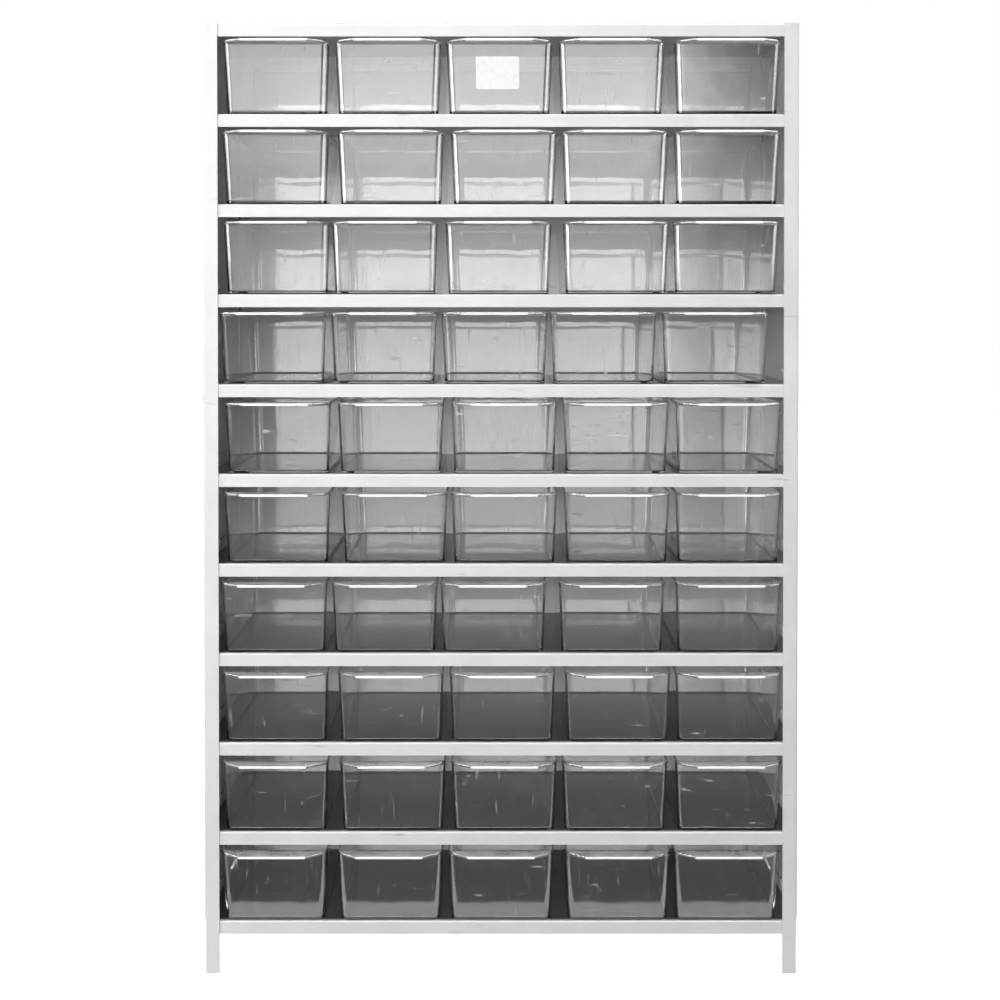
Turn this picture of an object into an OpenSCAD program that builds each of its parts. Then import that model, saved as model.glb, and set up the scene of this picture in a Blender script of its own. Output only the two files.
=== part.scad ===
// Parts bin cabinet: a folded steel rack on four angle posts, with rows of loose clear bins on its shelves.
// Millimetres. +Z is up and the bins face -Y. The origin is the middle of the footprint, on the floor.

/* [Rack] */
// Width over the corner posts
rack_w = 602; // [480:1:720]
// Depth over the corner posts
rack_d = 178; // [140:1:260]
// Free height of the legs under the bottom shelf's front lip
leg_h = 39.8; // [25:0.1:90]
// Height from one shelf to the next
shelf_pitch = 91.4; // [75:0.1:130]
// Rows of bins
rows = 10; // [2:1:10]
// Bins in each row
cols = 5; // [2:1:5]

/* [Sheet metal] */
// Width of each leaf of an angle post
post_w = 14; // [12:0.5:22]
// Thickness of an angle post
post_t = 2; // [1.5:0.1:3]
// Thickness of the shelves and panels
sheet_t = 1; // [0.6:0.1:1.5]
// Height of the folded lip along the front of a shelf
lip_h = 13.2; // [9:0.1:18]
// Height of the folded lip along the back of a shelf
back_lip_h = 10; // [7:0.5:16]
// Outer radius of a fold
fold_r = 2; // [1.7:0.1:3]
// Bare post left in front of a side sheet's edge
side_setback = 1; // [0:0.5:5]
// Gap between the bottom shelf and the lower edge of the side sheets
side_lift = 3; // [1:0.5:8]

/* [Shelf ears] */
// Height of the ear that ties each end of a shelf to the side sheet
ear_h = 12; // [6:0.5:16]
// Length of an ear where it leaves the shelf
ear_base = 60; // [40:1:80]
// Length of an ear along its top
ear_top = 36; // [20:1:38]

/* [Bins] */
// Free height over a bin, under the lip of the shelf above
head_room = 5.2; // [3:0.1:20]
// Free width in each bin's share of a row
side_play = 6.8; // [3:0.1:12]
// How far a bin's rim stands out over the shelf lip
rim_overhang = 3; // [-5:0.5:6]
// Free depth behind a bin
back_room = 7; // [3:0.5:25]
// Gap that a bin slides on
slide_gap = 0.05; // [0.02:0.01:0.2]
// How far each side of a bin leans in from rim to foot
bin_draft = 4.5; // [1.5:0.1:6]
// Thickness of a bin's walls
wall_t = 2; // [1.4:0.1:3]
// Thickness of a bin's floor
floor_t = 2; // [1.4:0.1:3.5]
// Radius of a bin's upright corners, at the rim
corner_r = 8; // [5:0.5:12]
// Outer radius between a bin's walls and its floor
foot_r = 4.5; // [2.5:0.1:6]

/* [Pull lip] */
// Reach of the pull lip in front of the rim
pull_reach = 14.5; // [8:0.5:22]
// Width of the pull lip along its front edge
pull_w = 66; // [30:1:80]
// Thickness of the pull lip
pull_t = 2.5; // [1.6:0.1:4]
// Radius of the pull lip's front corners
pull_r = 5; // [1:0.5:8]
// How far the pull lip's shoulder stands in from the bin's side
shoulder_in = 5; // [3:0.5:8]
// How far the shoulder stands out in front of the rim
shoulder_out = 5; // [2:0.5:7]
// Radius of the shoulder
shoulder_r = 6; // [2:0.5:10]

/* [Hidden] */
// Straight steps in a bin's quarter-round corner, and in each rounded corner of its pull lip
corner_steps = 3;
pull_steps = 3;
$fn = 48;

// Gaps along each row, from the left post to the right one, as parts of the row's free width: the bins
// stand loose, and no two rows share their play in the same way. The first list is the bottom row's.
row_gaps = [
    [2, 10, 5, 11, 3, 3],
    [3, 12, 6, 5, 8, 1],
    [3, 10, 6, 10, 5, 1],
    [2, 5, 3, 14, 12, 1],
    [5, 12, 4, 7, 6, 1],
    [6, 7, 8, 6, 7, 1],
    [1, 5, 5, 3, 6, 15],
    [5, 2, 8, 12, 4, 4],
    [4, 9, 7, 5, 6, 3],
    [5, 6, 5, 6, 10, 3]
];

// Heights
first_shelf_z = leg_h + lip_h;
rack_h = first_shelf_z + rows * shelf_pitch;
side_z0 = first_shelf_z + side_lift;
function shelf_z(level) = first_shelf_z + level * shelf_pitch;

// Depths, from the front of the pull lips to the back sheet
pull_out = max(0, pull_reach + rim_overhang - post_t);
front_y = pull_out - (pull_out + rack_d + sheet_t) / 2;
rear_y = front_y + rack_d;
pan_y0 = front_y + post_t;
pan_y1 = rear_y - post_t;
tab_y0 = front_y + post_w;
tab_y1 = rear_y - post_w;

// Widths
side_in = rack_w / 2;
side_out = side_in + sheet_t;
opening_w = rack_w - 2 * post_w;

// Bins
bin_w = opening_w / cols - side_play;
bin_h = shelf_pitch - lip_h - head_room;
bin_y0 = pan_y0 - rim_overhang;
bin_d = pan_y1 - back_room - bin_y0;
free_w = cols * side_play;

function sum_to(list, last) = last < 0 ? 0 : list[last % len(list)] + sum_to(list, last - 1);
function bin_x(level, col) =
    let (gaps = row_gaps[level % len(row_gaps)])
    -opening_w / 2 + free_w * sum_to(gaps, col - 1) / sum_to(gaps, cols) + (col - 0.5) * bin_w;

// Rows are named from the top down, as they are read, and levels count from the bottom up.
function two_digits(n) = str(n < 10 ? "0" : "", n);
function bin_name(row, col) = str("bin_r", two_digits(row), "_c", col);

BIN_NAMES = [for (row = [1:rows], col = [1:cols]) bin_name(row, col)];

powder_coat = [0.91, 0.91, 0.90];
clear_plastic = [0.86, 0.90, 0.92, 0.35];

// ---- Rack ----

// A corner post: one angle, its corner outwards, from the floor to the top of the rack.
// sx is -1 on the left, sy is -1 at the front.
module post(sx, sy) {
    corner_y = sy < 0 ? front_y : rear_y;
    color(powder_coat)
    translate([sx * rack_w / 2, corner_y, 0])
    scale([-sx, -sy, 1])
    linear_extrude(rack_h)
    difference() {
        square(post_w);
        translate([post_t, post_t]) square(post_w);
        rounded_off(post_t / 2);
    }
}

// What a round outside corner of radius r leaves out at the origin, of a part in the first quadrant
module rounded_off(r) {
    difference() {
        translate([-1, -1]) square(r + 1);
        translate([r, r]) circle(r);
    }
}

// Section of a pan, front lip at x = 0: a flat sheet with both edges folded down through round bends
module pan_section(depth) {
    bent_edge(lip_h);
    translate([depth, 0]) mirror([1, 0]) bent_edge(back_lip_h);
    translate([fold_r, -sheet_t]) square([depth - 2 * fold_r, sheet_t]);
}

module bent_edge(drop) {
    translate([0, -drop]) square([sheet_t, drop - fold_r]);
    translate([fold_r, -fold_r]) intersection() {
        difference() {
            circle(fold_r);
            circle(fold_r - sheet_t);
        }
        translate([-fold_r, 0]) square(fold_r);
    }
}

// A pan between the posts: it sits inside all four angles and spreads to the side sheets between them.
module pan(top_z) {
    pan_half_w = rack_w / 2 - post_t;
    translate([-pan_half_w, pan_y0, top_z])
    rotate([90, 0, 90])
    linear_extrude(2 * pan_half_w)
    pan_section(pan_y1 - pan_y0);
    for (sx = [-1, 1])
        translate([sx > 0 ? pan_half_w : -side_in, tab_y0, top_z - sheet_t])
        cube([side_in - pan_half_w, tab_y1 - tab_y0, sheet_t]);
}

// The ear folded up at one end of a shelf, for the spot welds into the side sheet
module ear(sx, top_z) {
    slope = (ear_base - ear_top) / 2;
    ear_y0 = (front_y + rear_y - ear_base) / 2;
    translate([sx > 0 ? side_in - sheet_t : -side_in, ear_y0, top_z - sheet_t])
    rotate([90, 0, 90])
    linear_extrude(sheet_t)
    polygon([
        [0, 0],
        [ear_base, 0],
        [ear_base, sheet_t],
        [ear_base - slope, ear_h + sheet_t],
        [slope, ear_h + sheet_t],
        [0, sheet_t]
    ]);
}

module shelf(level) {
    pan(shelf_z(level));
    for (sx = [-1, 1]) ear(sx, shelf_z(level));
}

module shelves() {
    color(powder_coat)
    for (level = [0:rows - 1]) shelf(level);
}

module top_panel() {
    color(powder_coat) pan(rack_h);
}

// A side sheet, flat against the outside of the posts
module side_panel(sx) {
    color(powder_coat)
    translate([sx > 0 ? side_in : -side_out, front_y + side_setback, side_z0])
    cube([sheet_t, rack_d - side_setback, rack_h - side_z0]);
}

// The back sheet reaches down over the bottom shelf's rear lip, so that no slit is left above that shelf.
module back_panel() {
    back_z0 = first_shelf_z - back_lip_h;
    color(powder_coat)
    translate([-side_out, rear_y, back_z0])
    cube([2 * side_out, sheet_t, rack_h - back_z0]);
}

// ---- Bins ----

// One level of a bin's surface: a rounded rectangle w by d at height z
function ring(w, d, r, z) = [
    for (corner = [0:3], step = [0:corner_steps])
        let (
            turn = 90 * (corner + step / corner_steps),
            sx = corner == 0 || corner == 3 ? 1 : -1,
            sy = corner < 2 ? 1 : -1
        )
        [sx * (w / 2 - r) + r * cos(turn), sy * (d / 2 - r) + r * sin(turn), z]
];

// The same level drawn in from the rim by inset and by the draft at its height
function bin_ring(inset, z) =
    let (
        lean = inset + bin_draft * (1 - z / bin_h),
        r = max(corner_r - inset, 1)
    )
    ring(bin_w - 2 * lean, bin_d - 2 * lean, r, z);

// A closed skin over rings of equal length, from an underside up the outside and down the inside
module skin(rings) {
    n = len(rings[0]);
    last = len(rings) - 1;
    polyhedron(
        points = [for (r = rings) each r],
        faces = concat(
            [[for (j = [0:n - 1]) j]],
            [
                for (i = [0:last - 1], j = [0:n - 1])
                    let (k = (j + 1) % n)
                    [i * n + j, (i + 1) * n + j, (i + 1) * n + k, i * n + k]
            ],
            [[for (j = [n - 1:-1:0]) last * n + j]]
        )
    );
}

// The shell's outside turns up from the floor in two straight steps, and its inside in one.
module bin_shell() {
    foot_step = foot_r * (1 - cos(45));
    inner_foot = foot_r - wall_t;
    skin([
        bin_ring(foot_r, 0),
        bin_ring(foot_step, foot_step),
        bin_ring(0, foot_r),
        bin_ring(0, bin_h),
        bin_ring(wall_t, bin_h),
        bin_ring(wall_t, floor_t + inner_foot),
        bin_ring(wall_t + inner_foot, floor_t)
    ]);
}

// Points that round corner b of an outline, from its tangent point towards a to the one towards c
function rounded(a, b, c, r) =
    let (
        to_a = (a - b) / norm(a - b),
        to_c = (c - b) / norm(c - b),
        half = acos(to_a * to_c) / 2,
        centre = b + (to_a + to_c) / norm(to_a + to_c) * r / sin(half),
        from = b + to_a * r / tan(half) - centre,
        till = b + to_c * r / tan(half) - centre,
        sweep = asin((from.x * till.y - from.y * till.x) / (r * r))
    )
    [
        for (i = [0:pull_steps])
            let (turn = sweep * i / pull_steps)
            centre + [from.x * cos(turn) - from.y * sin(turn), from.x * sin(turn) + from.y * cos(turn)]
    ];

// The right half of the pull lip's outline. It starts inside the wall, half a wall deep, follows the rim's
// corner back to the side, and comes forward over a rounded shoulder to the narrower front edge.
function half_pull() =
    let (
        root_r = corner_r - wall_t / 2,
        corner = [bin_w / 2 - corner_r, -bin_d / 2 + corner_r],
        side = corner + [root_r, 0],
        shoulder = [bin_w / 2 - shoulder_in, -bin_d / 2 - shoulder_out],
        front = [pull_w / 2, -bin_d / 2 - pull_reach],
        middle = [0, front.y]
    )
    concat(
        [for (turn = [90:-45:0]) corner + root_r * [cos(turn), -sin(turn)]],
        rounded(side, shoulder, front, shoulder_r),
        rounded(shoulder, front, middle, pull_r)
    );

// The pull lip: a flat tongue along the top of the front wall
module pull_lip() {
    right = half_pull();
    translate([0, 0, bin_h - pull_t])
    linear_extrude(pull_t)
    polygon(concat(right, [for (i = [len(right) - 1:-1:0]) [-right[i].x, right[i].y]]));
}

module bin(row, col) {
    level = rows - row;
    color(clear_plastic)
    translate([bin_x(level, col), bin_y0 + bin_d / 2, shelf_z(level) + slide_gap])
    union() {
        bin_shell();
        pull_lip();
    }
}

post(-1, -1);  // front_left_post
post(1, -1);  // front_right_post
post(-1, 1);  // rear_left_post
post(1, 1);  // rear_right_post
side_panel(-1);  // left_side_panel
side_panel(1);  // right_side_panel
back_panel();
top_panel();
shelves();
for (row = [1:rows], col = [1:cols])
    bin(row, col);
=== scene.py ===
# %% [markdown]
# # A parts bin cabinet, dressed in Blender
#
# The real thing is a steel rack, folded from thin sheet and powder coated, with fifty clear plastic bins
# that lie loose on its shelves. The rack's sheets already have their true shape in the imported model, so
# they are kept and only get their paint. The bins are what the eye goes to, because their rounded edges
# catch the light. They are lofted here as one smooth moulding, which all fifty places then share.

import math

import bpy
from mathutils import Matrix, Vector, noise


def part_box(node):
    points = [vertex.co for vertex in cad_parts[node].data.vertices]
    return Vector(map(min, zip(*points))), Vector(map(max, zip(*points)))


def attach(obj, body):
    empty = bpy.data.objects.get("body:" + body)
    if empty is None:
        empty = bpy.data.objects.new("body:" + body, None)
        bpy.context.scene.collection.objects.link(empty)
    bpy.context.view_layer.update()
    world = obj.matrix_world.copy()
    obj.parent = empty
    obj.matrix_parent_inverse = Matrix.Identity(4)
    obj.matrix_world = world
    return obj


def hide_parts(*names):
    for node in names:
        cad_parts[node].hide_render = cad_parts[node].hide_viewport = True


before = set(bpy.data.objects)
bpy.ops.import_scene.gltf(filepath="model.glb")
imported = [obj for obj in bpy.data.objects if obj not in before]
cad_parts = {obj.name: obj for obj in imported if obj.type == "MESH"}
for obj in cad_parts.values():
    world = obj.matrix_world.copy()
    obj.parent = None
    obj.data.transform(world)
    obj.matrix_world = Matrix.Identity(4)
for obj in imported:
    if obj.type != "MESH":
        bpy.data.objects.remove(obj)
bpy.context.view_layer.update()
MM = 0.001

# %% [markdown]
# ## What the frame says
#
# The rack's nodes all ride on one body, and each bin is a body of its own, so that it can be drawn out.
# The sizes that other cells need could be typed in again, but they are read from the nodes' boxes. That
# way the looks follow the construction when a driving dimension changes.

# %% Names and sizes from the frame
BIN_NODES = sorted(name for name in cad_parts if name.startswith("bin_"))
RACK_NODES = sorted(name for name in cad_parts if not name.startswith("bin_"))
rack_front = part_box("front_left_post")[0].y
rack_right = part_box("front_right_post")[1].x
rack_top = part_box("top_panel")[1].z
lip_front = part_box("top_panel")[0].y
shelf_tops = sorted({round(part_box(name)[0].z, 4) for name in BIN_NODES}, reverse=True)
print(len(BIN_NODES), "bins,", len(RACK_NODES), "rack nodes, shelves at", shelf_tops)

# %% [markdown]
# ## The camera
#
# It stands level with the third shelf, square to the rack and about 1.3 m from the shelf lips, so the
# upper shelves show their undersides and the lower bins their floors. The rack could be brought into the
# middle of the picture by turning the camera down, but then the posts would lean. So the picture is
# mostly framed with the lens shift, which keeps the posts upright, and only for the rest by a slight
# downward tilt.

# %% Set up the camera
EYE_HEIGHT = 0.686
EYE_DISTANCE = 1.32
TILT_DOWN = math.radians(0.7)
PIXEL_AT_LIPS = 1.015 * MM
PICTURE_PIXELS = 1000
PICTURE_MIDDLE_X = 500.9

camera_data = bpy.data.cameras.new("camera")
camera = bpy.data.objects.new("camera", camera_data)
bpy.context.scene.collection.objects.link(camera)
bpy.context.scene.camera = camera
focal = EYE_DISTANCE / (PIXEL_AT_LIPS * PICTURE_PIXELS)
camera_data.lens = camera_data.sensor_width * focal
camera.location = (0, lip_front - EYE_DISTANCE, EYE_HEIGHT)
camera.rotation_euler = (math.pi / 2 - TILT_DOWN, 0, 0)
middle_drop = math.atan((EYE_HEIGHT - rack_top / 2) / EYE_DISTANCE) - TILT_DOWN
camera_data.shift_y = -focal * math.tan(middle_drop)
camera_data.shift_x = (PICTURE_PIXELS / 2 - PICTURE_MIDDLE_X) / PICTURE_PIXELS
print("lens", round(camera_data.lens, 2), "shift", round(camera_data.shift_y, 3))

# %% [markdown]
# ## Helpers for shader nodes
#
# A material is a small graph of nodes. It could be built with one line per node and per link, which soon
# gets long. These helpers make a node, set its plain values and join its sockets in one go, so that the
# cells below read as a list of what a finish is made of.

# %% Shader node helpers
def add_node(tree, kind, links=None, **values):
    """A shader node, with properties by name and its sockets as {socket: a plain value or a source}."""
    node = tree.nodes.new(kind)
    for name, value in values.items():
        setattr(node, name, value)
    for socket, source in (links or {}).items():
        feed(tree, node.inputs[socket], source)
    return node


def feed(tree, target, source):
    """Gives a socket a plain value, or a link if the source is a socket too."""
    if isinstance(source, bpy.types.NodeSocket):
        tree.links.new(source, target)
    else:
        target.default_value = source


def new_group(name, inputs, outputs):
    """A node group with its sockets: inputs as (name, kind, default), outputs as (name, kind)."""
    group = bpy.data.node_groups.new(name, "ShaderNodeTree")
    for socket, kind, default in inputs:
        made = group.interface.new_socket(socket, in_out="INPUT", socket_type="NodeSocket" + kind)
        made.default_value = default
    for socket, kind in outputs:
        group.interface.new_socket(socket, in_out="OUTPUT", socket_type="NodeSocket" + kind)
    return group, group.nodes.new("NodeGroupInput").outputs, group.nodes.new("NodeGroupOutput").inputs


def place_mask(tree, group, **values):
    """The mask of a node group placed in a material, with its own values or sources."""
    node = tree.nodes.new("ShaderNodeGroup")
    node.node_tree = group
    for name, value in values.items():
        feed(tree, node.inputs[name], value)
    return node.outputs["Mask"]


def new_material(name):
    """A material with an empty graph and the socket of its output node."""
    material = bpy.data.materials.new(name)
    material.use_nodes = True
    tree = material.node_tree
    tree.nodes.clear()
    return material, tree, tree.nodes.new("ShaderNodeOutputMaterial").inputs["Surface"]


# %% Helpers for values and colours
def calculate(tree, operation, *values):
    """Several values joined by one operation, one after the other."""
    total = values[0]
    for value in values[1:]:
        total = add_node(tree, "ShaderNodeMath", {0: total, 1: value}, operation=operation).outputs[0]
    return total


def ramp(tree, value, low, high, at_low=0.0, at_high=1.0, curve="LINEAR"):
    """A straight step from one value to another."""
    step = add_node(tree, "ShaderNodeMapRange", {
        "Value": value, "From Min": low, "From Max": high, "To Min": at_low, "To Max": at_high},
        interpolation_type=curve)
    return step.outputs[0]


def smooth_step(tree, value, low, high, at_low=0.0, at_high=1.0):
    """A soft step from one value to another."""
    return ramp(tree, value, low, high, at_low, at_high, "SMOOTHSTEP")


def blend(tree, share, first, second):
    """A value between two others."""
    return add_node(tree, "ShaderNodeMix", {0: share, 2: first, 3: second}).outputs[0]


def blend_colour(tree, share, first, second):
    """A colour between two others."""
    return add_node(tree, "ShaderNodeMix", {0: share, 6: first, 7: second}, data_type="RGBA").outputs[2]


def split_axes(tree, vector):
    """The three parts of a vector, by the names X, Y and Z."""
    return add_node(tree, "ShaderNodeSeparateXYZ", {0: vector}).outputs


print("helpers for nodes, values and colours are ready")

# %% [markdown]
# ## Shared effects
#
# Soft blotches are slow changes over a few centimetres, as handling and uneven spraying leave them.
# Specks are single grains of dust or dirt. Scratches are thin broken lines. Painted pictures could show
# all three, but they would have to be stored and wrapped round the part. Noise that is worked out at each
# point needs neither.
#
# Paint, plastic and paper share these effects, so each is a node group with named inputs and one mask.
# The nodes inside come from a function of their own. That way a material can also have them outside a
# group, which it needs where a mask mixes two whole shaders.

# %% Node group: soft blotches
def cloudy(tree, vector, size):
    """Cloudy noise whose clouds are about as large as size."""
    cloud = add_node(tree, "ShaderNodeTexNoise", {
        "Vector": vector, "Scale": calculate(tree, "DIVIDE", 1.0, size), "Detail": 4.0, "Roughness": 0.6})
    return cloud.outputs["Fac"]


def blotches_group():
    group, given, gives = new_group(
        "soft_blotches", [("Vector", "Vector", (0, 0, 0)), ("Size", "Float", 0.05)], [("Mask", "Float")])
    group.links.new(cloudy(group, given["Vector"], given["Size"]), gives["Mask"])
    return group


soft_blotches = blotches_group()
print(soft_blotches.name, len(soft_blotches.nodes), "nodes")


# %% Node group: specks
def speckled(tree, vector, spacing, radius, share):
    """Round dots, at most one in each cell of a Voronoi pattern, and only in a share of the cells."""
    cells = add_node(tree, "ShaderNodeTexVoronoi", {
        "Vector": vector, "Scale": calculate(tree, "DIVIDE", 1.0, spacing)}).outputs
    distance = calculate(tree, "MULTIPLY", cells["Distance"], spacing)
    dot = ramp(tree, distance, radius, calculate(tree, "MULTIPLY", radius, 0.5))
    chance = add_node(tree, "ShaderNodeSeparateColor", {"Color": cells["Color"]}).outputs[0]
    return calculate(tree, "MULTIPLY", dot, calculate(tree, "LESS_THAN", chance, share))


def specks_group():
    group, given, gives = new_group(
        "specks",
        [("Vector", "Vector", (0, 0, 0)), ("Spacing", "Float", 0.01), ("Radius", "Float", 0.0004),
         ("Share", "Float", 0.3)],
        [("Mask", "Float")])
    dots = speckled(group, given["Vector"], given["Spacing"], given["Radius"], given["Share"])
    group.links.new(dots, gives["Mask"])
    return group


specks = specks_group()
print(specks.name, len(specks.nodes), "nodes")

# %% Node group: scratches
SCRATCH_EDGE = 0.06


def streaked(tree, vector, stretch, scale, cut):
    """Noise that is stretched along one way and cut to its peaks."""
    longer = add_node(tree, "ShaderNodeVectorMath", {0: vector, 1: stretch}, operation="DIVIDE").outputs[0]
    streaks = add_node(tree, "ShaderNodeTexNoise", {"Vector": longer, "Scale": scale, "Detail": 2.0,
                                                    "Roughness": 0.5})
    return ramp(tree, streaks.outputs["Fac"], cut, calculate(tree, "ADD", cut, SCRATCH_EDGE))


def scratches_group():
    group, given, gives = new_group(
        "scratches",
        [("Vector", "Vector", (0, 0, 0)), ("Stretch", "Vector", (1, 1, 12)), ("Scale", "Float", 300.0),
         ("Cut", "Float", 0.62)],
        [("Mask", "Float")])
    lines = streaked(group, given["Vector"], given["Stretch"], given["Scale"], given["Cut"])
    group.links.new(lines, gives["Mask"])
    return group


scratches = scratches_group()
print(scratches.name, len(scratches.nodes), "nodes")

# %% [markdown]
# ## The paint
#
# The rack is powder coated in a light grey white. A plain colour would look like plastic, because baked
# powder isn't flat: it has a fine orange peel, its tone drifts a little, and where hands and cartons rub
# it there are grey marks. The tone and the gloss read the same masks, so they change together. The
# shelf tops behind the fold of the lip get a painted shade, a dark colour for the shade that the shelves
# above throw on them, and a smoother gloss. Everything is worked out from places on the rack, so the marks
# and the painted shade stay put when the camera moves.

# %% Material: powder coat
PAINT = (0.64, 0.64, 0.635, 1)
PAINT_SHADE = (0.60, 0.60, 0.595, 1)
PAINT_DRIFT = 45 * MM
PAINT_SATIN = 0.34
PAINT_DULL = 0.50
RUB_MARK = (0.20, 0.20, 0.20, 1)
RUB_STREAKS = {"Stretch": (9, 2, 1), "Scale": 160.0, "Cut": 0.71}
RUB_DIRT = {"Spacing": 14 * MM, "Radius": 0.5 * MM, "Share": 0.16}
RUB_STRENGTH = 0.4
# Painted shade: the shelf tops inside the rack get a dark colour that stands for the shade under the
# shelves above.
SHELF_PAINTED_SHADE = (0.045, 0.045, 0.045, 1)
SHELF_SHADE_SHARE = 0.95
SHELF_POLISHED = 0.13
PEEL_SCALE = 520.0
PEEL_DEPTH = 0.035 * MM


def painted_shelf_shade(tree, where):
    """How much painted shade the shelf tops get: on faces that look up, behind the lip's fold, and not on
    the top panel.
    """
    normal = add_node(tree, "ShaderNodeNewGeometry").outputs["Normal"]
    place = split_axes(tree, where)
    looks_up = smooth_step(tree, split_axes(tree, normal)["Z"], 0.8, 0.95)
    behind_fold = smooth_step(tree, place["Y"], lip_front + 1 * MM, lip_front + 6 * MM)
    under_top = smooth_step(tree, place["Z"], rack_top - 40 * MM, rack_top - 20 * MM, 1.0, 0.0)
    return calculate(tree, "MULTIPLY", SHELF_SHADE_SHARE, looks_up, behind_fold, under_top)


def powder_coat_material():
    material, tree, surface = new_material("powder_coat")
    where = add_node(tree, "ShaderNodeTexCoord").outputs["Object"]
    drift = place_mask(tree, soft_blotches, Vector=where, Size=PAINT_DRIFT)
    painted = blend_colour(tree, ramp(tree, drift, 0.35, 0.65), PAINT_SHADE, PAINT)
    streaks = place_mask(tree, scratches, Vector=where, **RUB_STREAKS)
    dirt = place_mask(tree, specks, Vector=where, **RUB_DIRT)
    marks = calculate(tree, "MULTIPLY", calculate(tree, "MAXIMUM", streaks, dirt), RUB_STRENGTH)
    # Painted shade on the shelf tops, mixed over the paint's colour and its marks.
    wear_and_shade = painted_shelf_shade(tree, where)
    colour = blend_colour(tree, wear_and_shade, blend_colour(tree, marks, painted, RUB_MARK), SHELF_PAINTED_SHADE)
    sprayed = ramp(tree, drift, 0.0, 1.0, PAINT_SATIN, PAINT_DULL)
    peel = add_node(tree, "ShaderNodeTexNoise", {"Vector": where, "Scale": PEEL_SCALE, "Detail": 1.0})
    skin = add_node(tree, "ShaderNodeBump", {"Height": peel.outputs["Fac"], "Distance": PEEL_DEPTH})
    paint = add_node(tree, "ShaderNodeBsdfPrincipled", {
        "Base Color": colour, "Roughness": blend(tree, wear_and_shade, sprayed, SHELF_POLISHED),
        "Normal": skin.outputs[0], "Specular IOR Level": 0.5})
    tree.links.new(paint.outputs[0], surface)
    return material


powder_coat = powder_coat_material()
print(powder_coat.name, len(powder_coat.node_tree.nodes), "nodes")

# %% [markdown]
# ## The clear plastic
#
# The bins are moulded in a hard clear plastic, so light passes through and bends, and every rounded edge
# acts as a small lens. A see-through colour could stand for that, but it wouldn't bend anything. The wall
# is real in the mesh, with an outside and an inside, so a glass-like shader does the bending by itself.
# Years of handling leave hairlines and hazy specks, and the mould leaves a slow waviness. On these, and
# more faintly on top of the rim where it is rubbed, a white frosted shader is mixed in. Along the front
# edge of the pull lip the same white shader is a painted highlight, the bright line that the edge shows.
# The mask for that mix stays outside the groups.
#
# For lamp rays and for light that bounces off the rack, the plastic is a plain thin filter. That stands
# for the light that finds its way through, without the noise of tracing it.

# %% Material: clear plastic
PLASTIC_TINT = (0.97, 0.98, 0.98, 1)
PLASTIC_IOR = 1.57
FILTER_PER_FACE = (0.96, 0.965, 0.965, 1)
UPRIGHT_HAIRLINES = {"Stretch": (1, 1, 14), "Scale": 420.0, "Cut": 0.68}
SLANTED_HAIRLINES = {"Stretch": (7, 7, 1.5), "Scale": 300.0, "Cut": 0.70}
BIN_DUST = {"Spacing": 8 * MM, "Radius": 0.55 * MM, "Share": 0.16}
HAZE_SIZE = 30 * MM
HAIRLINE_DULL = 0.22
DUST_DULL = 0.5
CLEAR_POLISHED = 0.012
CLEAR_HAZY = 0.05
# The frost's white, also used as a painted highlight along the pull lip's front edge.
FROST_AND_EDGE_HIGHLIGHT = (0.90, 0.91, 0.91, 1)
FROSTED_DULL = 0.5
# Where the painted highlight on the pull lip's front edge begins.
EDGE_HIGHLIGHT_FROM = -13.8 * MM
WEAR_WHITE = 0.7
TOP_WEAR = 0.4
RIM_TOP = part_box(BIN_NODES[0])[1].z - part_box(BIN_NODES[0])[0].z
WAVE_SCALE = 38.0
WAVE_DEPTH = 0.10 * MM
PATTERN_SHIFT = 3.7


def wear(tree, upright, slanted, dust):
    """Hairlines and dust in one mask, the hairlines faint and the grains of dust strong."""
    lines = calculate(tree, "MULTIPLY", calculate(tree, "MAXIMUM", upright, slanted), HAIRLINE_DULL)
    return calculate(tree, "ADD", calculate(tree, "MULTIPLY", dust, DUST_DULL), lines)


def frost_and_highlight_mask(tree, local, shifted):
    """Where the white shader goes: a painted highlight on the lip's front edge, frost on the rim's top, the
    hairlines and the dust.
    """
    place = split_axes(tree, local)
    # Painted highlight: the lip's front edge is turned white, standing for the bright line along it.
    edge = smooth_step(tree, place["Y"], EDGE_HIGHLIGHT_FROM - 0.2 * MM, EDGE_HIGHLIGHT_FROM, 1.0, 0.0)
    top = smooth_step(tree, place["Z"], RIM_TOP - 0.5 * MM, RIM_TOP - 0.2 * MM)
    rubbed = smooth_step(tree, cloudy(tree, shifted, HAZE_SIZE), 0.3, 0.7, 0.6 * TOP_WEAR, TOP_WEAR)
    wear_and_shade = wear(tree, streaked(tree, shifted, *UPRIGHT_HAIRLINES.values()),
                streaked(tree, shifted, *SLANTED_HAIRLINES.values()),
                speckled(tree, shifted, *BIN_DUST.values()))
    return calculate(tree, "MAXIMUM", edge, calculate(tree, "MULTIPLY", top, rubbed),
                     calculate(tree, "MULTIPLY", wear_and_shade, WEAR_WHITE))


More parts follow.
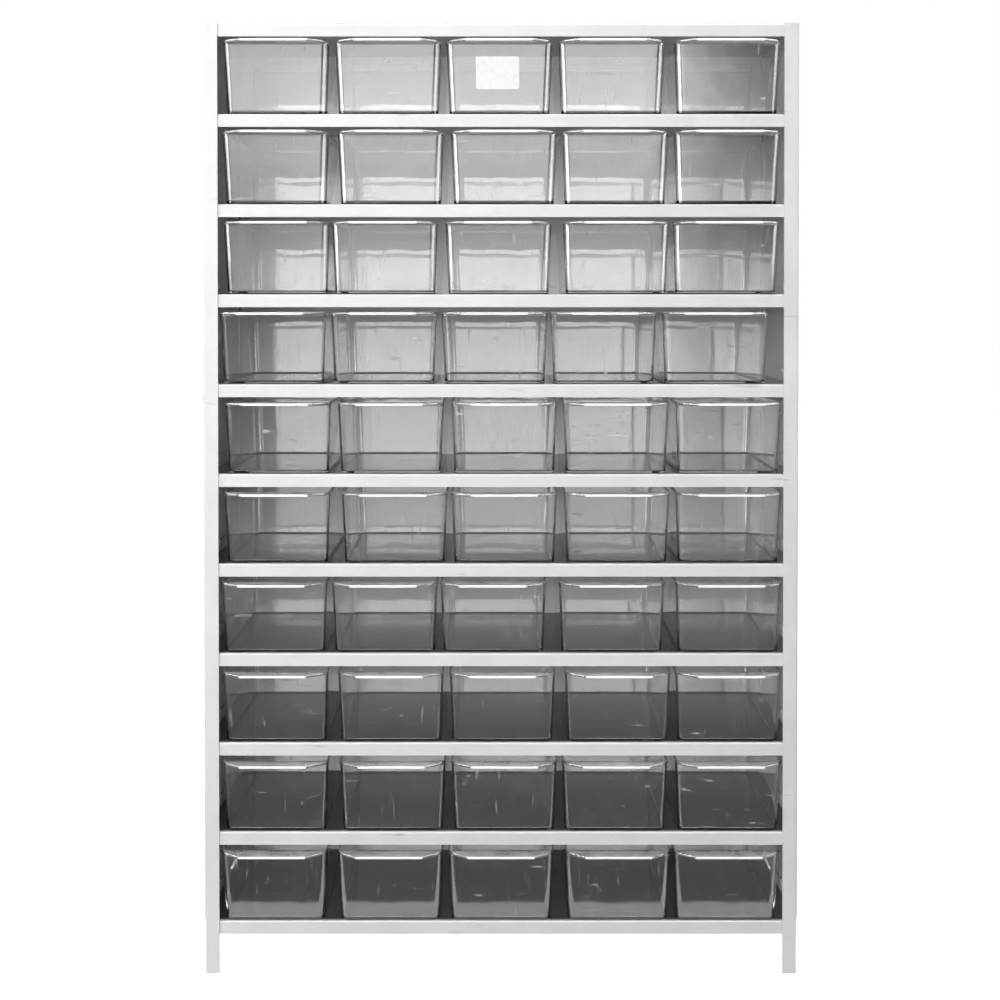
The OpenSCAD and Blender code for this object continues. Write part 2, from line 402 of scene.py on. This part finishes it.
def clear_plastic_material():
    material, tree, surface = new_material("clear_plastic")
    local = add_node(tree, "ShaderNodeTexCoord").outputs["Object"]
    piece = add_node(tree, "ShaderNodeObjectInfo").outputs["Random"]
    shifted = add_node(tree, "ShaderNodeVectorMath", {
        0: local, 1: calculate(tree, "MULTIPLY", piece, PATTERN_SHIFT)}, operation="ADD").outputs[0]
    haze = place_mask(tree, soft_blotches, Vector=shifted, Size=HAZE_SIZE)
    wear_and_shade = wear(tree, place_mask(tree, scratches, Vector=shifted, **UPRIGHT_HAIRLINES),
                place_mask(tree, scratches, Vector=shifted, **SLANTED_HAIRLINES),
                place_mask(tree, specks, Vector=shifted, **BIN_DUST))
    clean = ramp(tree, haze, 0.4, 0.75, CLEAR_POLISHED, CLEAR_HAZY)
    wave = add_node(tree, "ShaderNodeTexNoise", {"Vector": shifted, "Scale": WAVE_SCALE, "Detail": 1.0})
    skin = add_node(tree, "ShaderNodeBump", {"Height": wave.outputs["Fac"], "Distance": WAVE_DEPTH})
    plastic = add_node(tree, "ShaderNodeBsdfPrincipled", {
        "Base Color": PLASTIC_TINT, "Roughness": calculate(tree, "ADD", wear_and_shade, clean), "IOR": PLASTIC_IOR,
        "Transmission Weight": 1.0, "Normal": skin.outputs[0]})
    # A white frosted shader: frost on worn places and a painted highlight on the lip's front edge.
    frost_and_highlight = add_node(tree, "ShaderNodeBsdfPrincipled", {
        "Base Color": FROST_AND_EDGE_HIGHLIGHT, "Roughness": FROSTED_DULL, "IOR": PLASTIC_IOR,
        "Normal": skin.outputs[0]})
    moulding = add_node(tree, "ShaderNodeMixShader", {
        0: frost_and_highlight_mask(tree, local, shifted), 1: plastic.outputs[0], 2: frost_and_highlight.outputs[0]})
    thin_filter = add_node(tree, "ShaderNodeBsdfTransparent", {"Color": FILTER_PER_FACE})
    path = add_node(tree, "ShaderNodeLightPath").outputs
    filtered = calculate(tree, "MAXIMUM", path["Is Shadow Ray"], path["Is Diffuse Ray"])
    mixed = add_node(tree, "ShaderNodeMixShader", {0: filtered, 1: moulding.outputs[0],
                                                   2: thin_filter.outputs[0]})
    tree.links.new(mixed.outputs[0], surface)
    return material


clear_plastic = clear_plastic_material()
print(clear_plastic.name, len(clear_plastic.node_tree.nodes), "nodes")

# %% [markdown]
# ## The label's paper
#
# One bin carries a small white label with rounded corners. It could be a patch of colour in the bin's own
# material, but a real label has an edge that catches light, so it is a thin piece of its own, left blank.
# Its paper is coated, with a faint mottle, a little yellowing, some dust and a fine grain of fibres.

# %% Material: label paper
PAPER = (0.71, 0.71, 0.725, 1)
PAPER_AGED = (0.60, 0.59, 0.56, 1)
PAPER_MOTTLE = 6 * MM
PAPER_DUST = {"Spacing": 4 * MM, "Radius": 0.25 * MM, "Share": 0.2}
PAPER_GLOSSY = 0.4
PAPER_MATT = 0.6
FIBRE_SCALE = 1400.0
FIBRE_DEPTH = 0.01 * MM


def label_paper_material():
    material, tree, surface = new_material("label_paper")
    where = add_node(tree, "ShaderNodeTexCoord").outputs["Object"]
    mottle = place_mask(tree, soft_blotches, Vector=where, Size=PAPER_MOTTLE)
    dust = calculate(tree, "MULTIPLY", place_mask(tree, specks, Vector=where, **PAPER_DUST), 0.5)
    aged = calculate(tree, "ADD", smooth_step(tree, mottle, 0.35, 0.75, 0.0, 0.5), dust)
    fibre = add_node(tree, "ShaderNodeTexNoise", {"Vector": where, "Scale": FIBRE_SCALE, "Detail": 2.0})
    skin = add_node(tree, "ShaderNodeBump", {"Height": fibre.outputs["Fac"], "Distance": FIBRE_DEPTH})
    paper = add_node(tree, "ShaderNodeBsdfPrincipled", {
        "Base Color": blend_colour(tree, aged, PAPER, PAPER_AGED),
        "Roughness": smooth_step(tree, mottle, 0.3, 0.7, PAPER_GLOSSY, PAPER_MATT),
        "Normal": skin.outputs[0]})
    tree.links.new(paper.outputs[0], surface)
    return material


label_paper = label_paper_material()
print(label_paper.name, len(label_paper.node_tree.nodes), "nodes")

# %% [markdown]
# ## The rack
#
# The real sheets are folded, deburred and painted, so no edge is quite sharp. They could be modelled
# again with rounded edges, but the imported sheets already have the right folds. So they keep their shape,
# and a narrow bevel modifier rounds their cut edges and gives each edge its thin highlight.

# %% Dress the rack
EDGE_ROUND = 0.25 * MM
EDGE_STEPS = 2
EDGE_SHARPER_THAN = math.radians(50)


def dress_sheet_metal(name):
    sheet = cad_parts[name]
    sheet.data.materials.clear()
    sheet.data.materials.append(powder_coat)
    edge = sheet.modifiers.new("edge_round", "BEVEL")
    edge.width = EDGE_ROUND
    edge.segments = EDGE_STEPS
    edge.limit_method = "ANGLE"
    edge.angle_limit = EDGE_SHARPER_THAN
    edge.harden_normals = True


for name in RACK_NODES:
    dress_sheet_metal(name)
print("painted", RACK_NODES)

# %% [markdown]
# ## One bin, as a loft
#
# A moulded bin could be cut from a block and bevelled, but its walls lean and its pull lip grows out of
# the rim, and bevels break where such shapes meet. As a loft it is a stack of rounded outlines: up the
# outside from the foot, round the rim, down the inside and across the floor. Every outline has the same
# number of points, so neighbours join with four-sided faces. Each outline is the rim's own, drawn in by
# an inset and by the draft at its height, which is smaller at the sides than in front and behind. Along
# the front the outline can also take the shape of the pull lip, and that makes the lip one piece with the
# wall, as in the mould.

# %% Sizes of a bin, in millimetres
bin_low, bin_high = (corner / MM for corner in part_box(BIN_NODES[0]))
PULL_REACH = 14.5
PULL_WIDTH = 66
PULL_THICK = 2.5
PULL_CORNER = 5
SHOULDER_IN = 5
SHOULDER_OUT = 5
SHOULDER_ROUND = 6
WALL = 2
FLOOR = 2.4
DRAFT = 4.5
SIDE_DRAFT = 3
CORNER = 8
FOOT_ROUND = 1.2
FLOOR_FILLET = 1.8
RIM_ROUND = 0.5
PULL_EDGE_ROUND = 0.9
PULL_FILLET = 1.2
CORNER_STEPS = 8
ROUND_STEPS = 5
FOOT_STEPS = 6
SMALL_STEPS = 3
bin_w = bin_high.x - bin_low.x
bin_h = bin_high.z - bin_low.z
bin_d = bin_high.y - bin_low.y - PULL_REACH
print(f"bin shell {bin_w:.1f} x {bin_d:.1f} x {bin_h:.1f} mm")


# %% Arcs and rounded corners
def arc(centre, radius, start, end, steps):
    """Points of an arc from one angle to another, both in degrees."""
    turns = [math.radians(start + (end - start) * i / steps) for i in range(steps + 1)]
    return [Vector((centre[0] + radius * math.cos(t), centre[1] + radius * math.sin(t))) for t in turns]


def rounded_corner(before, corner, after, radius, steps):
    """Points that round a corner between two straight edges, from one tangent point to the other."""
    back, on = (before - corner).normalized(), (after - corner).normalized()
    half = back.angle(on) / 2
    reach = radius / math.tan(half)
    centre = corner + (back + on).normalized() * radius / math.sin(half)
    first, last = corner + back * reach - centre, corner + on * reach - centre
    sweep = first.angle_signed(last)
    turned = [first.copy() for _ in range(steps + 1)]
    for i, spoke in enumerate(turned):
        angle = -sweep * i / steps
        spoke.xy = (spoke.x * math.cos(angle) - spoke.y * math.sin(angle),
                    spoke.x * math.sin(angle) + spoke.y * math.cos(angle))
    return [centre + spoke for spoke in turned]


# %% Outlines seen from above
PULL_POINTS = 2 + 4 * (ROUND_STEPS + 1)


def shell_outline(inset, z):
    """The shell's outside at a height, drawn in by an inset, counter-clockwise from the front left."""
    depth, r = 1 - z / bin_h, max(CORNER - inset, 1)
    half = bin_w / 2 - inset - SIDE_DRAFT * depth
    front, rear = inset + DRAFT * depth, bin_d - inset - DRAFT * depth
    front_left = arc((-half + r, front + r), r, 180, 270, CORNER_STEPS)
    front_right = arc((half - r, front + r), r, 270, 360, CORNER_STEPS)
    between = PULL_POINTS - len(front_left) - len(front_right)
    straight = [front_left[-1].lerp(front_right[0], (i + 1) / (between + 1)) for i in range(between)]
    rear_right = arc((half - r, rear - r), r, 0, 90, CORNER_STEPS)
    rear_left = arc((-half + r, rear - r), r, 90, 180, CORNER_STEPS)
    return front_left + straight + front_right + rear_right + rear_left


def pull_outline():
    """The pull lip's edge, left to right: a shoulder, the slanted side, the front and the same mirrored."""
    half, pull = bin_w / 2, PULL_WIDTH / 2
    shoulder = half - SHOULDER_IN
    stops = [Vector((-half, CORNER)), Vector((-shoulder, -SHOULDER_OUT)), Vector((-pull, -PULL_REACH)),
             Vector((pull, -PULL_REACH)), Vector((shoulder, -SHOULDER_OUT)), Vector((half, CORNER))]
    radii = [SHOULDER_ROUND, PULL_CORNER, PULL_CORNER, SHOULDER_ROUND]
    points = [stops[0]]
    for i, radius in enumerate(radii):
        points += rounded_corner(stops[i], stops[i + 1], stops[i + 2], radius, ROUND_STEPS)
    return points + [stops[-1]]


rim = shell_outline(0, bin_h)
pull = pull_outline() + rim[PULL_POINTS:]
reach = [(a - b).length for a, b in zip(rim, pull)]
print(len(rim), "points in an outline,", PULL_POINTS, "of them in the pull lip")


# %% One level of the skin
def outward(points):
    """The direction square to the outline at each point."""
    n = len(points)
    result = []
    for i in range(n):
        along = points[(i + 1) % n] - points[i - 1]
        result.append(Vector((along.y, -along.x)).normalized())
    return result


pull_out = outward(pull)


def wall_ring(inset, z):
    """A whole level of the shell. The inset may differ from point to point."""
    insets = inset if isinstance(inset, list) else [inset] * len(rim)
    outlines = {value: shell_outline(value, z) for value in set(insets)}
    return [Vector((*outlines[value][i], z)) for i, value in enumerate(insets)]


def rim_point(i, inset, z):
    """A point along the edge of rim and pull lip, drawn in by an inset."""
    flat = pull[i] - pull_out[i] * inset
    return Vector((flat.x, flat.y, z))


print(f"an outline's points move up to {max(reach):.1f} mm from the rim to the pull lip")

# %% [markdown]
# The rings are listed from the foot up. At the front, where the pull lip stands out, a ring follows a
# small fillet under the lip, the rounded lower edge and the rounded upper edge. Everywhere else the same
# ring just climbs the wall. The lip could be switched on and off from point to point, but that would
# leave a step where it starts at the bin's sides. So how far the lip stands out at a point decides how
# much of fillet and rounding it gets, and both fade to nothing there.

# %% The rings of one bin
RING_GAP = 0.1


def quarter(steps):
    """Sine and cosine over a quarter turn, ends included."""
    turns = [math.pi / 2 * i / steps for i in range(steps + 1)]
    return [(math.sin(turn), math.cos(turn)) for turn in turns]


def bin_rings():
    count = len(rim)
    grown = [min(1, r / (PULL_FILLET + PULL_EDGE_ROUND + 1)) for r in reach]
    under = bin_h - PULL_THICK
    rings = [wall_ring(FOOT_ROUND * (1 - s), FOOT_ROUND * (1 - c)) for s, c in quarter(FOOT_STEPS)]
    for s, c in quarter(SMALL_STEPS):
        rings.append(wall_ring([-PULL_FILLET * g * (1 - c) for g in grown], under - PULL_FILLET * (1 - s)))
    for s, c in quarter(SMALL_STEPS):
        ring = []
        for i in range(count):
            climb = PULL_EDGE_ROUND * (1 - c) * grown[i] + RING_GAP * (1 - grown[i]) * (1 + s)
            ring.append(rim_point(i, PULL_EDGE_ROUND * grown[i] * (1 - s), under + climb))
        rings.append(ring)
    for s, c in quarter(SMALL_STEPS):
        ring = []
        for i in range(count):
            r = RIM_ROUND + (PULL_EDGE_ROUND - RIM_ROUND) * grown[i]
            ring.append(rim_point(i, r * (1 - c), bin_h - r * (1 - s)))
        rings.append(ring)
    rings += [wall_ring(WALL - RIM_ROUND * (1 - s), bin_h - RIM_ROUND * (1 - c))
              for s, c in quarter(SMALL_STEPS)]
    rings += [wall_ring(WALL + FLOOR_FILLET * (1 - c), FLOOR + FLOOR_FILLET * (1 - s))
              for s, c in quarter(FOOT_STEPS)]
    return rings


# %% Skin the rings into a mesh
def even_normals(mesh):
    """Corner normals that follow the large faces, so that flat walls stay flat beside rounded edges."""
    sums = [Vector() for _ in mesh.vertices]
    for face in mesh.polygons:
        for v in face.vertices:
            sums[v] += face.normal * face.area ** 2
    mesh.shade_smooth()
    mesh.normals_split_custom_set_from_vertices([s.normalized() for s in sums])


def skinned_mesh(name, rings, material):
    """A closed mesh over rings of equal length, the first and last of them filled."""
    n = len(rings[0])
    points = [point * MM for ring in rings for point in ring]
    faces = [tuple(range(n - 1, -1, -1))]
    for k in range(len(rings) - 1):
        for i in range(n):
            j = (i + 1) % n
            faces.append((k * n + i, k * n + j, (k + 1) * n + j, (k + 1) * n + i))
    faces.append(tuple((len(rings) - 1) * n + i for i in range(n)))
    mesh = bpy.data.meshes.new(name)
    mesh.from_pydata(points, [], faces)
    mesh.update()
    mesh.materials.append(material)
    even_normals(mesh)
    return mesh


bin_mesh = skinned_mesh("clear_bin", bin_rings(), clear_plastic)
print("bin mesh", len(bin_mesh.polygons), "faces")

# %% [markdown]
# ## Fifty places, one mesh
#
# All bins come out of the same mould. Fifty copies of the mesh would look the same and take fifty times
# the memory, so the bins share one mesh. Each is its own object, stands where its node stands and rides
# on its own body.

# %% Set out the bins
def set_out_bin(node):
    low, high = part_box(node)
    piece = bpy.data.objects.new("clear_" + node, bin_mesh)
    piece.location = ((low.x + high.x) / 2, low.y + PULL_REACH * MM, low.z)
    bpy.context.scene.collection.objects.link(piece)
    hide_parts(node)
    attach(piece, node)
    return piece


bins = {node: set_out_bin(node) for node in BIN_NODES}
print(len(bins), "bins set out")

# %% [markdown]
# ## The label and the ground welds
#
# The label sits on the front wall of the top row's middle bin and leans with it. At the two top front
# corners the post, the side sheet and the top panel are welded, and the bead is ground down to a low,
# uneven pad. Both could be drawn with a bump in the material, but bump has no edge of its own. So both
# are thin pads over a rounded outline, and noise lifts the face of the weld.

# %% A thin pad with a rounded outline
FACE_RINGS = (0.75, 0.5, 0.25)
UNEVEN_SCALE = 0.7


def pad_mesh(name, outline, thickness, edge, material, uneven=0.0):
    """A pad over an outline in millimetres: upright sides, a rounded edge and a face that may be uneven."""
    rings = [[Vector((p.x, p.y, 0)) for p in outline]]
    for s, c in quarter(SMALL_STEPS):
        drawn_in = [p - p.normalized() * edge * (1 - c) for p in outline]
        rings.append([Vector((p.x, p.y, thickness - edge * (1 - s))) for p in drawn_in])
    for share in FACE_RINGS:
        ring = []
        for p in outline:
            bump = noise.noise(Vector((p.x * share, p.y * share, share)) * UNEVEN_SCALE)
            ring.append(Vector((p.x * share, p.y * share, thickness + uneven * bump)))
        rings.append(ring)
    return skinned_mesh(name, rings, material)


def rounded_rectangle(width, height, radius):
    """The outline of a rounded rectangle round the origin, counter-clockwise."""
    x, y = width / 2 - radius, height / 2 - radius
    return (arc((x, y), radius, 0, 90, CORNER_STEPS) + arc((-x, y), radius, 90, 180, CORNER_STEPS)
            + arc((-x, -y), radius, 180, 270, CORNER_STEPS) + arc((x, -y), radius, 270, 360, CORNER_STEPS))


# %% Stick on the label, sizes in millimetres
LABEL_NODE = "bin_r01_c3"
LABEL_SIZE = (44, 33)
LABEL_CORNER = 3
LABEL_THICK = 0.12
LABEL_EDGE = 0.05
LABEL_SUNK = 0.01
LABEL_FROM_MIDDLE = -2
LABEL_HEIGHT = 41
label_outline = rounded_rectangle(*LABEL_SIZE, LABEL_CORNER)
label_mesh = pad_mesh("label", label_outline, LABEL_THICK, LABEL_EDGE, label_paper)
label = bpy.data.objects.new("label", label_mesh)
wall_there = DRAFT * (1 - LABEL_HEIGHT / bin_h)
label_place = Vector((LABEL_FROM_MIDDLE, wall_there - LABEL_SUNK, LABEL_HEIGHT))
label.location = bins[LABEL_NODE].location + label_place * MM
label.rotation_euler = (math.pi / 2 + math.atan(DRAFT / bin_h), 0, 0)
bpy.context.scene.collection.objects.link(label)
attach(label, LABEL_NODE)
print("label on", LABEL_NODE)

# %% Grind the corner welds, sizes in millimetres
WELD_THICK = 0.3
WELD_EDGE = 0.25
WELD_UNEVEN = 0.25
WELD_ROUNDING = 0.4
post_x = rack_right / MM
weld_places = {
    "weld_pad_left": (-post_x + 3.2, -7.5, 4, 9),
    "weld_pad_right": (post_x - 6.5, -7.0, 9, 12),
}


def ground_weld(name, x, from_top, width, height):
    outline = rounded_rectangle(width, height, min(width, height) * WELD_ROUNDING)
    mesh = pad_mesh(name, outline, WELD_THICK, WELD_EDGE, powder_coat, uneven=WELD_UNEVEN)
    pad = bpy.data.objects.new(name, mesh)
    pad.location = Vector((x, rack_front / MM, rack_top / MM + from_top)) * MM
    pad.rotation_euler = (math.pi / 2, 0, 0)
    bpy.context.scene.collection.objects.link(pad)
    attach(pad, "rack")


for name, place in weld_places.items():
    ground_weld(name, *place)
print("ground welds", list(weld_places))

# %% [markdown]
# ## The floor
#
# A studio stands such a rack on white paper. A floor that is only lit would turn grey with distance, so
# the camera's own rays get most of their white from emission, which grows to full white far away. The
# part that is left to the light keeps the rack's shadow. Mirrored in the plastic and in the lips, paper
# is bright close to the rack and dark further out, where the camera and the photographer's side of the
# room stand.

# %% Material: floor paper
FLOOR_WHITE = (0.86, 0.86, 0.86, 1)
FLOOR_BLACK = (0, 0, 0, 1)
FLOOR_BRIGHT = 105 * MM
FLOOR_BRIGHT_EDGE = 15 * MM
FLOOR_FAR = 0.25
FLOOR_MIRRORED = 1.5
FAR_MIRRORED = 0.2
LIFT_NEAR = 0.9
LIFT_FROM = 0.35
LIFT_TO = 1.5


def floor_material():
    material, tree, surface = new_material("floor_white")
    path = add_node(tree, "ShaderNodeLightPath").outputs
    where = add_node(tree, "ShaderNodeTexCoord").outputs["Object"]
    away = add_node(tree, "ShaderNodeVectorMath", {0: where}, operation="LENGTH").outputs["Value"]
    bright_to = rack_front - FLOOR_BRIGHT
    strip = smooth_step(tree, split_axes(tree, where)["Y"], bright_to - FLOOR_BRIGHT_EDGE, bright_to)
    mirrored_tone = smooth_step(tree, strip, 0.0, 1.0, FLOOR_FAR, 1.0)
    tone = blend(tree, path["Is Glossy Ray"], 1.0, mirrored_tone)
    lift = smooth_step(tree, away, LIFT_FROM, LIFT_TO, LIFT_NEAR, 1.0)
    mirrored = smooth_step(tree, strip, 0.0, 1.0, FAR_MIRRORED, FLOOR_MIRRORED)
    glow = calculate(tree, "ADD", calculate(tree, "MULTIPLY", path["Is Camera Ray"], lift),
                     calculate(tree, "MULTIPLY", path["Is Glossy Ray"], mirrored))
    paper = add_node(tree, "ShaderNodeBsdfPrincipled", {
        "Base Color": blend_colour(tree, tone, FLOOR_BLACK, FLOOR_WHITE), "Roughness": 0.9,
        "Specular IOR Level": 0.0, "Emission Color": (1, 1, 1, 1), "Emission Strength": glow})
    tree.links.new(paper.outputs[0], surface)
    return material


floor_white = floor_material()
print(floor_white.name, len(floor_white.node_tree.nodes), "nodes")

# %% Lay the floor
FLOOR_HALF = 6.0

corners = [(x * FLOOR_HALF, y * FLOOR_HALF, 0) for x, y in ((-1, -1), (1, -1), (1, 1), (-1, 1))]
floor_mesh = bpy.data.meshes.new("floor")
floor_mesh.from_pydata(corners, [], [(0, 1, 2, 3)])
floor_mesh.materials.append(floor_white)
floor = bpy.data.objects.new("floor", floor_mesh)
bpy.context.scene.collection.objects.link(floor)
print("floor", 2 * FLOOR_HALF, "m square")

# %% [markdown]
# ## The lamps
#
# Such a rack is lit from the front, by wide soft lamps. One lamp could do it, but then each shelf would
# shade the bins under it. Here one stands level with the upper rows and one higher, both a little to the
# left. Neither shows in the plastic, because the world has the bright faces that the plastic mirrors. One
# more lamp overhead draws the bright line along each shelf's fold, and a narrow one brightens the rack's
# left side.

# %% Set up the lamps
def soft_lamp(name, place, aim, width, height, watts):
    """A rectangular soft lamp that points at a place."""
    data = bpy.data.lights.new(name, "AREA")
    data.shape = "RECTANGLE"
    data.size, data.size_y = width, height
    data.energy = watts
    lamp = bpy.data.objects.new(name, data)
    lamp.location = place
    lamp.rotation_euler = (Vector(aim) - Vector(place)).to_track_quat("-Z", "Y").to_euler()
    bpy.context.scene.collection.objects.link(lamp)
    return lamp


FRONT_WATTS = 16.5
HIGH_WATTS = 15.5
OVERHEAD_WATTS = 4
LEFT_WATTS = 4
rack_middle = (0, 0, rack_top / 2)
unseen_lamps = [
    soft_lamp("front_lamp", (-0.35, -1.9, 0.80), rack_middle, 1.5, 0.4, FRONT_WATTS),
    soft_lamp("high_lamp", (-0.35, -1.8, 1.30), rack_middle, 1.5, 0.5, HIGH_WATTS),
]
for lamp in unseen_lamps:
    lamp.visible_glossy = False
    lamp.visible_transmission = False
soft_lamp("overhead_lamp", (-0.3, -1.0, 2.4), (0, -0.1, 0.4), 1.6, 0.8, OVERHEAD_WATTS)
soft_lamp("left_lamp", (-1.15, -0.95, 0.85), (-0.2, 0, 0.7), 0.4, 1.2, LEFT_WATTS)
print("lamps", [lamp.name for lamp in bpy.data.lights])

# %% [markdown]
# ## The surround
#
# Clear plastic has hardly a colour of its own. What is seen of it is the room that it mirrors and bends,
# so the room has to be built. Boards and walls round the rack could do that, but the world does it with
# less. It is plain white for the camera, and lights the rack's rear softly. For mirrored and bent rays it
# is a studio: a large soft box in front, with a fainter skirt below it, bright side walls and a ceiling
# that draw the lines along the bins' rims and corners, and a dark room behind the camera.

# %% Brightness and places of the surround
BEHIND_THE_RACK = 0.8
ROOM_IN_FRONT = 0.05
ROOM_BEHIND = 1.0
CEILING = 13.0
CEILING_BEHIND = 1.5
LEFT_WALL = 9.0
RIGHT_WALL = 6.0
SOFTBOX = 4.1
SOFTBOX_LEFT = -0.5
SOFTBOX_RIGHT = 0.15
SOFTBOX_LOW = -0.01
SOFTBOX_HIGH = 0.40
SKIRT = 0.4
SKIRT_LOW = -0.13
WALL_FROM = 0.6
WALL_FULL = 0.75
print("soft box across", (SOFTBOX_LEFT, SOFTBOX_RIGHT), "up", (SOFTBOX_LOW, SOFTBOX_HIGH))


# %% Build the surround
def soft_box(tree, across, ahead, up):
    """The box in front and its skirt, placed by how far across and up a ray gets for each metre ahead."""
    side = calculate(tree, "DIVIDE", across, ahead)
    rise = calculate(tree, "DIVIDE", up, ahead)
    skirt = smooth_step(tree, rise, SKIRT_LOW - 0.02, SKIRT_LOW + 0.02, 0.0, SKIRT)
    box = smooth_step(tree, rise, SOFTBOX_LOW - 0.05, SOFTBOX_LOW + 0.05, 0.0, 1.0 - SKIRT)
    return calculate(tree, "MULTIPLY", SOFTBOX, smooth_step(tree, ahead, 0.1, 0.5),
                     smooth_step(tree, side, SOFTBOX_RIGHT - 0.05, SOFTBOX_RIGHT + 0.05, 1.0, 0.0),
                     smooth_step(tree, side, SOFTBOX_LEFT - 0.1, SOFTBOX_LEFT + 0.1),
                     calculate(tree, "ADD", skirt, box),
                     smooth_step(tree, rise, SOFTBOX_HIGH - 0.1, SOFTBOX_HIGH + 0.1, 1.0, 0.0))


def mirrored_studio(tree, across, depth, up):
    """What plastic and paint mirror in each direction."""
    ahead = calculate(tree, "MULTIPLY", depth, -1.0)
    room = smooth_step(tree, ahead, -0.3, 0.3, ROOM_BEHIND, ROOM_IN_FRONT)
    ceiling = calculate(tree, "MULTIPLY", smooth_step(tree, up, 0.45, 0.6),
                        smooth_step(tree, depth, 0.1, 0.3, CEILING, CEILING_BEHIND))
    left_wall = smooth_step(tree, across, -WALL_FULL, -WALL_FROM, LEFT_WALL, 0.0)
    right_wall = smooth_step(tree, across, WALL_FROM, WALL_FULL, 0.0, RIGHT_WALL)
    return calculate(tree, "ADD", soft_box(tree, across, ahead, up), room, ceiling, left_wall, right_wall)


def build_surround(tree):
    tree.nodes.clear()
    path = add_node(tree, "ShaderNodeLightPath").outputs
    across, depth, up = split_axes(tree, add_node(tree, "ShaderNodeTexCoord").outputs["Generated"])
    mirrored_or_bent = calculate(tree, "MAXIMUM", path["Is Glossy Ray"], path["Is Transmission Ray"])
    soft_light = smooth_step(tree, depth, 0.0, 0.5, 0.0, BEHIND_THE_RACK)
    unseen = blend(tree, mirrored_or_bent, soft_light, mirrored_studio(tree, across, depth, up))
    sky = add_node(tree, "ShaderNodeBackground", {
        "Color": (1, 1, 1, 1), "Strength": blend(tree, path["Is Camera Ray"], unseen, 1.0)})
    tree.links.new(sky.outputs[0], tree.nodes.new("ShaderNodeOutputWorld").inputs["Surface"])


world = bpy.data.worlds.new("surround")
bpy.context.scene.world = world
world.use_nodes = True
build_surround(world.node_tree)
print("surround", len(world.node_tree.nodes), "nodes")

# %% [markdown]
# ## How light is traced
#
# A ray that enters a bin passes four or more plastic faces before it leaves, and it may meet several bins
# in a row. With Blender's usual number of bounces such rays would end early and leave black patches, so
# the limits are raised. Caustics, the bright patterns that a lens throws, could be traced too, but they
# would come out as white dots, and the thin filter in the plastic already lets the lamps through.

# %% Colour and bounces
bpy.context.scene.view_settings.view_transform = "Standard"
cycles = bpy.context.scene.cycles
cycles.caustics_reflective = False
cycles.caustics_refractive = False
cycles.transparent_max_bounces = 32
cycles.max_bounces = 16
cycles.transmission_bounces = 14
print("bounces", cycles.max_bounces, "of them through plastic", cycles.transmission_bounces)
